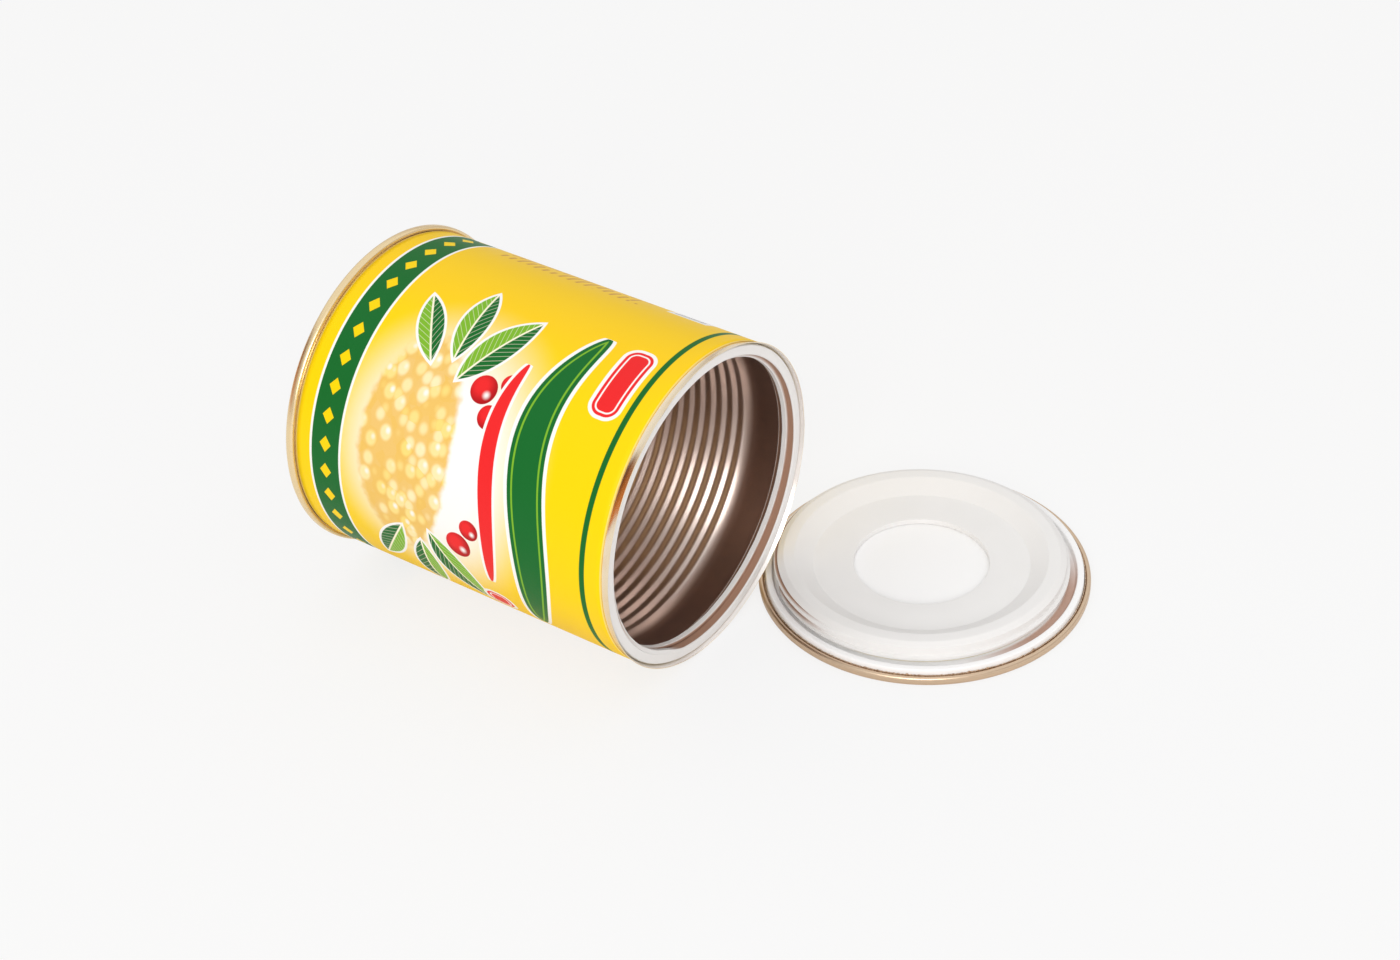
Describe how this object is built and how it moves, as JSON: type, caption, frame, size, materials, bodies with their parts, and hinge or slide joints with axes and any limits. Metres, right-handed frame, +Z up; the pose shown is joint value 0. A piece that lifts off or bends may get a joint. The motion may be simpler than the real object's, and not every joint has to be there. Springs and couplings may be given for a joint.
{
  "type": "can diversion safe",
  "caption": "Food can safe, shown open: labelled beaded can on its side with a threaded plastic collar in its mouth, and its screw lid lying beside it.",
  "frame": {"origin": "on the table, under the middle of the box round the can and its lid", "axes": "+X from the can's closed end to its mouth, +Z up; the lid lies on its outer side beside the mouth towards +X and +Y"},
  "size_m": [0.207, 0.1608, 0.1019],
  "materials": {
    "bare_tinplate": "bright rolled tinplate, light warm grey, shiny with fine rolling lines",
    "gold_tinplate": "tinplate under thin gold lacquer, satin gloss",
    "sawn_tinplate": "tinplate strip with a rough dark sawn edge and small burrs",
    "label_paper": "glossy coated paper, bright yellow print with a green hoop, plain red panels and leaves, no lettering",
    "white_plastic": "white injection-moulded plastic, soft satin gloss",
    "grey_compound": "matt grey sealing compound",
    "grey_lacquer": "grey powder lacquer over the weld, satin",
    "clear_glue": "set glue, milky and a little shiny"
  },
  "bodies": {
    "can": {"can_body": "bare_tinplate", "bottom_end": "gold_tinplate", "bottom_seam_compound": "grey_compound", "weld_stripe": "grey_lacquer", "paper_label": "label_paper", "label_lap_glue": "clear_glue", "threaded_collar": "white_plastic", "collar_adhesive": "clear_glue"},
    "lid": {"lid_end": "gold_tinplate", "lid_wall_strip": "sawn_tinplate", "lid_seam_compound": "grey_compound", "screw_plug": "white_plastic", "plug_adhesive": "clear_glue"}
  },
  "joints": [
    {"name": "lid_lift", "type": "slide", "parent": "can", "child": "lid", "axis": [0.5774, 0.5774, 0.5774], "range_m": [0, 0.18]}
  ]
}
